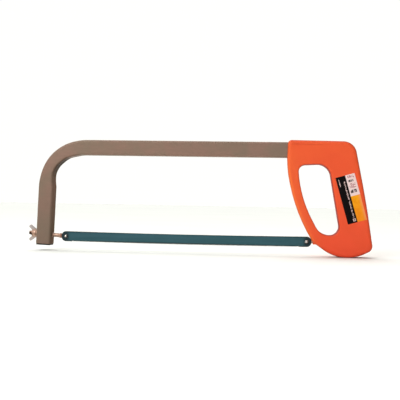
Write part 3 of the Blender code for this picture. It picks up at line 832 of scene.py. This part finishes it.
def make_blade(look):
    half = BLADE_WIDTH / 2
    low = SEAT_Y - GAP - BLADE_THICKNESS
    edge = tooth_edge()
    shoulder_z = -half + TOOTH_DEPTH + 0.3
    front, rear = blade_end(-1), blade_end(1)
    lead = [Vector((TOOTH_START - 1.2, -half)), Vector((TOOTH_START - 0.5, shoulder_z))]
    trail_x = edge[-1][0]
    trail = [Vector((trail_x + 0.5, shoulder_z)), Vector((trail_x + 1.2, -half))]
    steps = 48
    back = [Vector((PIN_SPACING * k / steps, half)) for k in range(steps - 1, 0, -1)]
    bm = bmesh.new()
    faces = []
    for y in (low, low + BLADE_THICKNESS):
        head = ring(bm, lead, y)
        tail = ring(bm, trail, y)
        shoulder = [bm.verts.new((x, y, shoulder_z)) for x, _, _ in edge]
        tips = [bm.verts.new((x, y + lean * TOOTH_SET, z)) for x, z, lean in edge]
        for i in range(len(edge) - 1):
            bm.faces.new((shoulder[i], shoulder[i + 1], tips[i + 1], tips[i]))
        outer = ring(bm, front, y) + head + shoulder + tail + ring(bm, rear + back, y)
        holes = [ring(bm, circle(x, 0, BLADE_HOLE_RADIUS), y) for x in (0, PIN_SPACING)]
        fill(bm, outer, *holes)
        rim = outer[: len(front) + 2] + [shoulder[0], *tips, shoulder[-1]] + outer[-len(rear + back) - 2 :]
        faces.append((rim, holes))
    (rim_a, holes_a), (rim_b, holes_b) = faces
    bridge(bm, rim_a, rim_b)
    for a, b in zip(holes_a, holes_b):
        bridge(bm, a, b)
    for vert in bm.verts:
        vert.co.z -= BLADE_BOW * max(0.0, 1 - (2 * vert.co.x / PIN_SPACING - 1) ** 2)
    blade = show(solid("saw_blade", bm), "blade", ["blade"], look)
    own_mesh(blade)


# Handle


def fillet_levels(fillet, base, steps=10):
    """(inset, height) pairs up a straight side and round a quarter fillet at its top."""
    levels = [(0.0, GAP / 2), (0.0, base - fillet - 0.8)]
    for k in range(steps + 1):
        angle = math.pi / 2 * k / steps
        levels.append((fillet * (1 - math.cos(angle)), base - fillet + fillet * math.sin(angle)))
    levels.append((fillet + 0.8, base))
    return levels


def shell_tray(side):
    """The tray of one half shell: side is -1 for the near half and +1 for the far half."""
    ceiling = HALF_WIDTH - SHELL_WALL
    cove = 2.0
    cavity = [(SHELL_WALL, GAP / 2), (SHELL_WALL, ceiling - cove), (SHELL_WALL + cove, ceiling)]
    bm = bmesh.new()

    def wall(outline, levels, sign):
        rings = []
        for inset, height in levels:
            rings.append(ring(bm, rounded(shifted(outline, sign * inset)), side * height))
        for a, b in zip(rings, rings[1:]):
            bridge(bm, a, b)
        return rings[0], rings[-1]

    outer_rim, outer_top = wall(HANDLE_OUTLINE, fillet_levels(OUTER_FILLET, HALF_WIDTH), 1)
    hole_rim, hole_top = wall(HANDLE_OPENING, fillet_levels(OPENING_FILLET, HALF_WIDTH), -1)
    outer_cavity, outer_ceiling = wall(HANDLE_OUTLINE, cavity, 1)
    hole_cavity, hole_ceiling = wall(HANDLE_OPENING, cavity, -1)
    fill(bm, outer_top, hole_top)
    fill(bm, outer_ceiling, hole_ceiling)
    bridge(bm, outer_rim, outer_cavity)
    bridge(bm, hole_rim, hole_cavity)
    return bm


def shell_ribs(side):
    """Ribs round the tube and across the grip, the screw bosses and a lug under the rear holder."""
    bm = bmesh.new()
    deep = HALF_WIDTH - SHELL_WALL + 1.0
    y = sorted((side * GAP / 2, side * deep))
    for x in TUBE_RIBS_X:
        add_box(bm, (x - 1, x + 1), y, TUBE_RIBS_Z)
    for span_x, span_z in GRIP_RIBS:
        add_box(bm, span_x, y, span_z)
    lug_y = sorted((side * GAP / 2, side * LUG_REACH))
    add_plate(bm, [[Vector(corner) for corner in NOSE_LUG]], *lug_y)
    for x, z in SCREWS.values():
        add_plate(bm, [circle(x, z, BOSS_RADIUS)], *y)
    return bm


def shell_cuts(side):
    """Room for the tube and the rear holder, and the screw holes."""
    bm = bmesh.new()
    room = TUBE_SIZE / 2 + GAP
    axis_z = TUBE_TOP - TUBE_SIZE / 2
    add_box(bm, (266.0, TUBE_REAR + 1), (-room, room), (axis_z - room, axis_z + room))
    add_turned(bm, rod(HOLDER_RADIUS + GAP, 4.5, HOLDER_LENGTH + GAP), along_holder())
    for x, z in SCREWS.values():
        if side > 0:
            head_room = SCREW_HEAD_RADIUS + GAP
            shank_room = SCREW_RADIUS + GAP
            steps = [(0, -20), (head_room, -20), (head_room, -SCREW_HEAD_SEAT + GAP)]
            steps += [(shank_room, -SCREW_HEAD_SEAT + GAP), (shank_room, 1), (0, 1)]
            add_turned(bm, steps, across(x, z))
        else:
            add_turned(bm, rod(SCREW_RADIUS + 0.2, -1, 7.5), across(x, z))
    return bm


def nose_notch():
    """Room in the handle's nose for the flattened end of the rear holder."""
    half = EYE_HEIGHT / 2 + GAP
    ahead = HOLDER_EYE_AHEAD + GAP
    bm = bmesh.new()
    corners = [Vector(c) for c in ((-half, 0), (half, 0), (half, ahead), (-half, ahead))]
    add_plate(bm, [corners], SEAT_Y - GAP, EYE_BACK_Y + GAP)
    return bm


def make_shell(name, side, node, look):
    shell = solid(name, shell_tray(side))
    combine(shell, "UNION", solid("ribs", shell_ribs(side)))
    notch = solid("notch", nose_notch(), along_holder())
    combine(shell, "DIFFERENCE", solid("cuts", shell_cuts(side)), notch)
    show(shell, "frame", [node], look)


def make_handle_screw(name, x, z, look):
    """Local Z points to the near side, so the head is at the low end."""
    seat, head, dome_foot = -SCREW_HEAD_SEAT, SCREW_HEAD_HEIGHT, 2.2
    profile = [(0, seat - head)]
    for k in range(7):
        angle = math.pi / 2 * k / 6
        height = seat - head + 1.0 * (1 - math.sin(math.pi / 2 - angle))
        profile.append((dome_foot + (SCREW_HEAD_RADIUS - dome_foot) * math.sin(angle), height))
    profile += [(SCREW_HEAD_RADIUS, seat), (SCREW_RADIUS, seat), (SCREW_RADIUS, 5.4), (0, 7.0)]
    bm = bmesh.new()
    add_turned(bm, profile, across(x, z), 48)
    screw = solid(f"screw_{name}", bm)
    arm, slot = 1.7, 0.4
    quarter = [(slot, arm), (slot, slot), (arm, slot)]
    cross = []
    for k in range(4):
        spin = Matrix.Rotation(-math.pi / 2 * k, 2)
        cross += [spin @ Vector(p) + Vector((x, z)) for p in quarter]
    cross.reverse()
    recess = bmesh.new()
    add_plate(recess, [cross], -seat + head - SCREW_RECESS, -seat + head + 1)
    combine(screw, "DIFFERENCE", solid("recess", recess))
    show(screw, "frame", [f"handle_screw_{name}"], look)


def make_rear_holder(look):
    bm = bmesh.new()
    add_turned(bm, rod(HOLDER_RADIUS, SHANK_START, HOLDER_LENGTH))
    holder = solid("rear_holder", bm, along_holder())
    combine(holder, "UNION", blade_eye("eye", along_holder(), HOLDER_EYE_AHEAD))
    tail = bmesh.new()
    add_box(tail, HOLDER_TAIL_X, (PLATE_Y[0] - GAP, 5.0), (-6.0, 10.0))
    holes = bmesh.new()
    add_turned(holes, rod(PIN_HOLE_RADIUS, -5, 5), across(PIN_SPACING, 0))
    add_turned(holes, rod(HOLDER_RIVET_RADIUS + 0.2, -5, 5), across(*HOLDER_RIVET))
    combine(holder, "DIFFERENCE", solid("tail", tail), solid("holes", holes))
    show(holder, "frame", ["rear_blade_holder"], look)


# Label


def side_height(point, outline):
    """How far from the middle plane the handle's side stands at a point of the saw's plane."""
    gap = min(closest(point, a, b) for a, b in zip(outline, outline[1:] + outline[:1]))
    if gap >= OUTER_FILLET:
        return HALF_WIDTH
    rise = math.sqrt(max(0.0, OUTER_FILLET**2 - (OUTER_FILLET - gap) ** 2))
    return HALF_WIDTH - OUTER_FILLET + rise


def closest(point, a, b):
    along = b - a
    if along.length < 1e-6:
        return (point - a).length
    share = max(0.0, min(1.0, (point - a).dot(along) / along.length_squared))
    return (point - a - along * share).length


def label_print():
    """A plain label: a black band with pale dashes, a pale panel with rows and bars, and a yellow panel."""
    n = Nodes("label_print")
    millimetres = n.stretch(n.place, (1 / MM, 1 / MM, 1 / MM))
    u, _, v = n.axes(millimetres)

    def inside(value, low, high, soft=0.12):
        rising = n.span(value, low - soft, low + soft)
        return n.calc("MULTIPLY", rising, n.span(value, high - soft, high + soft, 1.0, 0.0))

    def dashes(width, length, share, seed):
        """Cells that are inked at random."""
        cell = n.add("ShaderNodeCombineXYZ")
        n.put(n.calc("FLOOR", n.calc("DIVIDE", u, width)), cell.inputs[0])
        n.put(n.calc("FLOOR", n.calc("DIVIDE", v, length)), cell.inputs[1])
        cell.inputs[2].default_value = seed
        draw = n.add("ShaderNodeTexWhiteNoise", noise_dimensions="3D")
        n.put(cell.outputs[0], draw.inputs["Vector"])
        return n.calc("LESS_THAN", draw.outputs["Value"], share)

    def patch(low_u, high_u, low_v, high_v):
        return n.calc("MULTIPLY", inside(u, low_u, high_u), inside(v, low_v, high_v))

    black = srgb(8, 3, 4)
    white = srgb(206, 178, 174)
    lines = n.calc("MAXIMUM", patch(-3.6, -2.0, -22.3, 22.0), patch(-9.2, -8.0, 17.0, 26.0))
    inked = n.calc("MULTIPLY", lines, dashes(0.62, 0.8, 0.62, 1.0))
    frame_mark = n.calc("SUBTRACT", patch(-4.5, -1.2, -27.2, -23.9), patch(-3.6, -2.1, -26.3, -24.8))
    band = n.mix(n.calc("MAXIMUM", inked, frame_mark), black, white)

    rows = n.calc("MAXIMUM", patch(1.9, 10.0, 24.2, 27.8), patch(1.9, 9.6, 11.8, 18.2))
    bars = n.calc("MAXIMUM", patch(1.9, 8.2, 19.9, 22.5), patch(1.7, 9.0, 6.4, 10.2))
    pink_ink = n.calc("MULTIPLY", rows, dashes(0.9, 0.9, 0.5, 2.0))
    dark_ink = n.calc("MULTIPLY", bars, dashes(0.4, 9.0, 0.75, 3.0))
    pale = n.mix(pink_ink, srgb(232, 206, 204), srgb(178, 122, 126))
    pale = n.mix(dark_ink, pale, srgb(74, 62, 62))

    blotch = n.noise(180, 3)
    yellow = n.mix(n.span(blotch, 0.35, 0.65), srgb(234, 144, 10), srgb(242, 160, 24))
    low = n.span(v, -28.0, 2.0, 1.0, 0.0)
    yellow = n.mix(n.calc("MULTIPLY", low, 0.6), yellow, srgb(236, 124, 26))
    yellow = n.mix(n.calc("MULTIPLY", n.span(u, 7.5, 11.5), 0.7), yellow, srgb(242, 150, 96))

    right = n.mix(n.span(v, 2.7, 2.9), yellow, pale)
    colour = n.mix(n.span(u, 0.1, 0.3), band, right)
    normal = n.bump(n.noise(700, 2), 0.00003, 0.4)
    return n.finish(colour, n.span(n.noise(300, 2), 0.3, 0.7, 0.5, 0.6), 0.0, normal, Specular_IOR_Level=0.08)


def make_label(look):
    """A thin sheet laid over the grip's side and a little way round its back edge."""
    outline = rounded(HANDLE_OUTLINE)
    lean = Matrix.Rotation(LABEL_LEAN, 2)
    across_steps, along_steps = 40, 60
    bm = bmesh.new()
    rims = []
    for lift in (LABEL_LIFT, LABEL_LIFT + LABEL_THICKNESS):
        rows = []
        for j in range(along_steps + 1):
            v = LABEL_SIZE[1] * (j / along_steps - 0.5)
            row = []
            for i in range(across_steps + 1):
                u = LABEL_SIZE[0] * (i / across_steps - 0.5)
                point = lean @ Vector((u, v)) + Vector(LABEL_CENTRE)
                row.append(bm.verts.new((u, -side_height(point, outline) - lift, v)))
            rows.append(row)
        for a, b in zip(rows, rows[1:]):
            for i in range(across_steps):
                bm.faces.new((a[i], a[i + 1], b[i + 1], b[i]))
        rim = rows[0] + [r[-1] for r in rows[1:]] + rows[-1][-2::-1] + [r[0] for r in rows[-2:0:-1]]
        rims.append(rim)
    bridge(bm, *rims)
    label = solid("grip_label", bm)
    mesh = label.data
    mesh.transform(Matrix.Scale(MM, 4))
    centre = Vector((LABEL_CENTRE[0], 0, LABEL_CENTRE[1]))
    label.matrix_world = Matrix.Translation(SAW @ centre) @ Matrix.Rotation(-LABEL_LEAN, 4, "Y")
    mesh.shade_smooth()
    mesh.set_sharp_from_angle(angle=math.radians(40))
    mesh.materials.append(look)
    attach(label, "frame")
    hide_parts("handle_label")


# Studio


def make_floor():
    n = Nodes("floor_paper")
    colour = n.mix(n.span(n.noise(3, 2), 0.3, 0.7), (0.86, 0.87, 0.83, 1), (0.88, 0.89, 0.85, 1))
    look = n.finish(colour, 0.9)
    bm = bmesh.new()
    bmesh.ops.create_circle(bm, cap_ends=True, segments=96, radius=FLOOR_RADIUS)
    mesh = bpy.data.meshes.new("floor")
    bm.to_mesh(mesh)
    bm.free()
    mesh.materials.append(look)
    floor = bpy.data.objects.new("floor", mesh)
    bpy.context.scene.collection.objects.link(floor)
    floor.location.z = cad_bounds[0].z


def add_light(data, place, direction):
    light = bpy.data.objects.new(data.name, data)
    bpy.context.scene.collection.objects.link(light)
    light.location = place
    light.rotation_euler = direction.to_track_quat("-Z", "Y").to_euler()


def make_lights():
    """A soft key light from the front and left, and a broad sun from above and behind."""
    key = bpy.data.lights.new("key", "AREA")
    key.shape = "RECTANGLE"
    key.size, key.size_y = 1.0, 1.0
    key.energy = 16.0
    add_light(key, KEY_PLACE, KEY_TARGET - KEY_PLACE)
    sun = bpy.data.lights.new("top", "SUN")
    sun.energy = 2.1
    sun.angle = math.radians(70)
    add_light(sun, (0, 0, 0), SUN_DIRECTION)


def make_camera():
    data = bpy.data.cameras.new("camera")
    data.lens = CAMERA_LENS
    data.sensor_width = 36.0
    camera = bpy.data.objects.new("camera", data)
    bpy.context.scene.collection.objects.link(camera)
    turn = Matrix.Rotation(CAMERA_TURN, 4, "Z")
    level = Matrix.Rotation(math.pi / 2, 4, "X")
    roll = Matrix.Rotation(CAMERA_ROLL, 4, "Z")
    place = SAW @ Vector(CAMERA_PLACE)
    camera.matrix_world = Matrix.Translation(place) @ turn @ level @ roll
    bpy.context.scene.camera = camera


def make_world():
    """Even white behind the saw, dimmer in front of it, and dimmest towards the handle's side."""
    world = bpy.data.worlds.new("studio")
    world.use_nodes = True
    tree = world.node_tree
    background = tree.nodes["Background"]
    background.inputs["Color"].default_value = (1.0, 1.0, 0.965, 1.0)
    direction = tree.nodes.new("ShaderNodeSeparateXYZ")
    tree.links.new(tree.nodes.new("ShaderNodeTexCoord").outputs["Generated"], direction.inputs[0])

    def fade(axis, low, high, to_low, to_high):
        node = tree.nodes.new("ShaderNodeMapRange")
        node.interpolation_type = "SMOOTHSTEP"
        tree.links.new(direction.outputs[axis], node.inputs["Value"])
        for name, value in (("From Min", low), ("From Max", high), ("To Min", to_low), ("To Max", to_high)):
            node.inputs[name].default_value = value
        return node.outputs[0]

    product = tree.nodes.new("ShaderNodeMath")
    product.operation = "MULTIPLY"
    tree.links.new(fade(1, 0.4, 0.85, 0.5, 1.03), product.inputs[0])
    tree.links.new(fade(0, 0.3, 0.9, 1.0, 0.3), product.inputs[1])
    tree.links.new(product.outputs[0], background.inputs["Strength"])
    bpy.context.scene.world = world


def make_studio():
    bpy.context.scene.view_settings.view_transform = "Standard"
    make_world()
    make_floor()
    make_lights()
    make_camera()


def paint_hidden_nodes(look):
    """The CAD's own meshes stay for the pieces inside the handle and the tube."""
    for node in ("core_plate", "holder_rivet", "tube_rivet_front", "tube_rivet_rear"):
        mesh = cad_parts[node].data
        mesh.materials.clear()
        mesh.materials.append(look)


STEEL, PAINT, ZINC, PIN = lacquered_steel(), blade_paint(), zinc_plate(), pin_steel()
ORANGE, PLATE_STEEL, BLACK = orange_plastic(), core_steel(), black_plastic()
make_studio()
make_frame_tube(STEEL)
make_end_plug(BLACK)
make_tension_bolt(ZINC)
make_pin("front_pin", 0.0, "draw_bolt", "front_blade_pin", PIN)
make_pin("rear_pin", PIN_SPACING, "frame", "rear_blade_pin", PIN)
make_washer(ZINC)
make_wing_nut(ZINC)
make_blade(PAINT)
make_shell("near_shell", -1, "handle_near_shell", ORANGE)
make_shell("far_shell", 1, "handle_far_shell", ORANGE)
for screw_name, spot in SCREWS.items():
    make_handle_screw(screw_name, *spot, ZINC)
make_rear_holder(ZINC)
make_label(label_print())
paint_hidden_nodes(PLATE_STEEL)
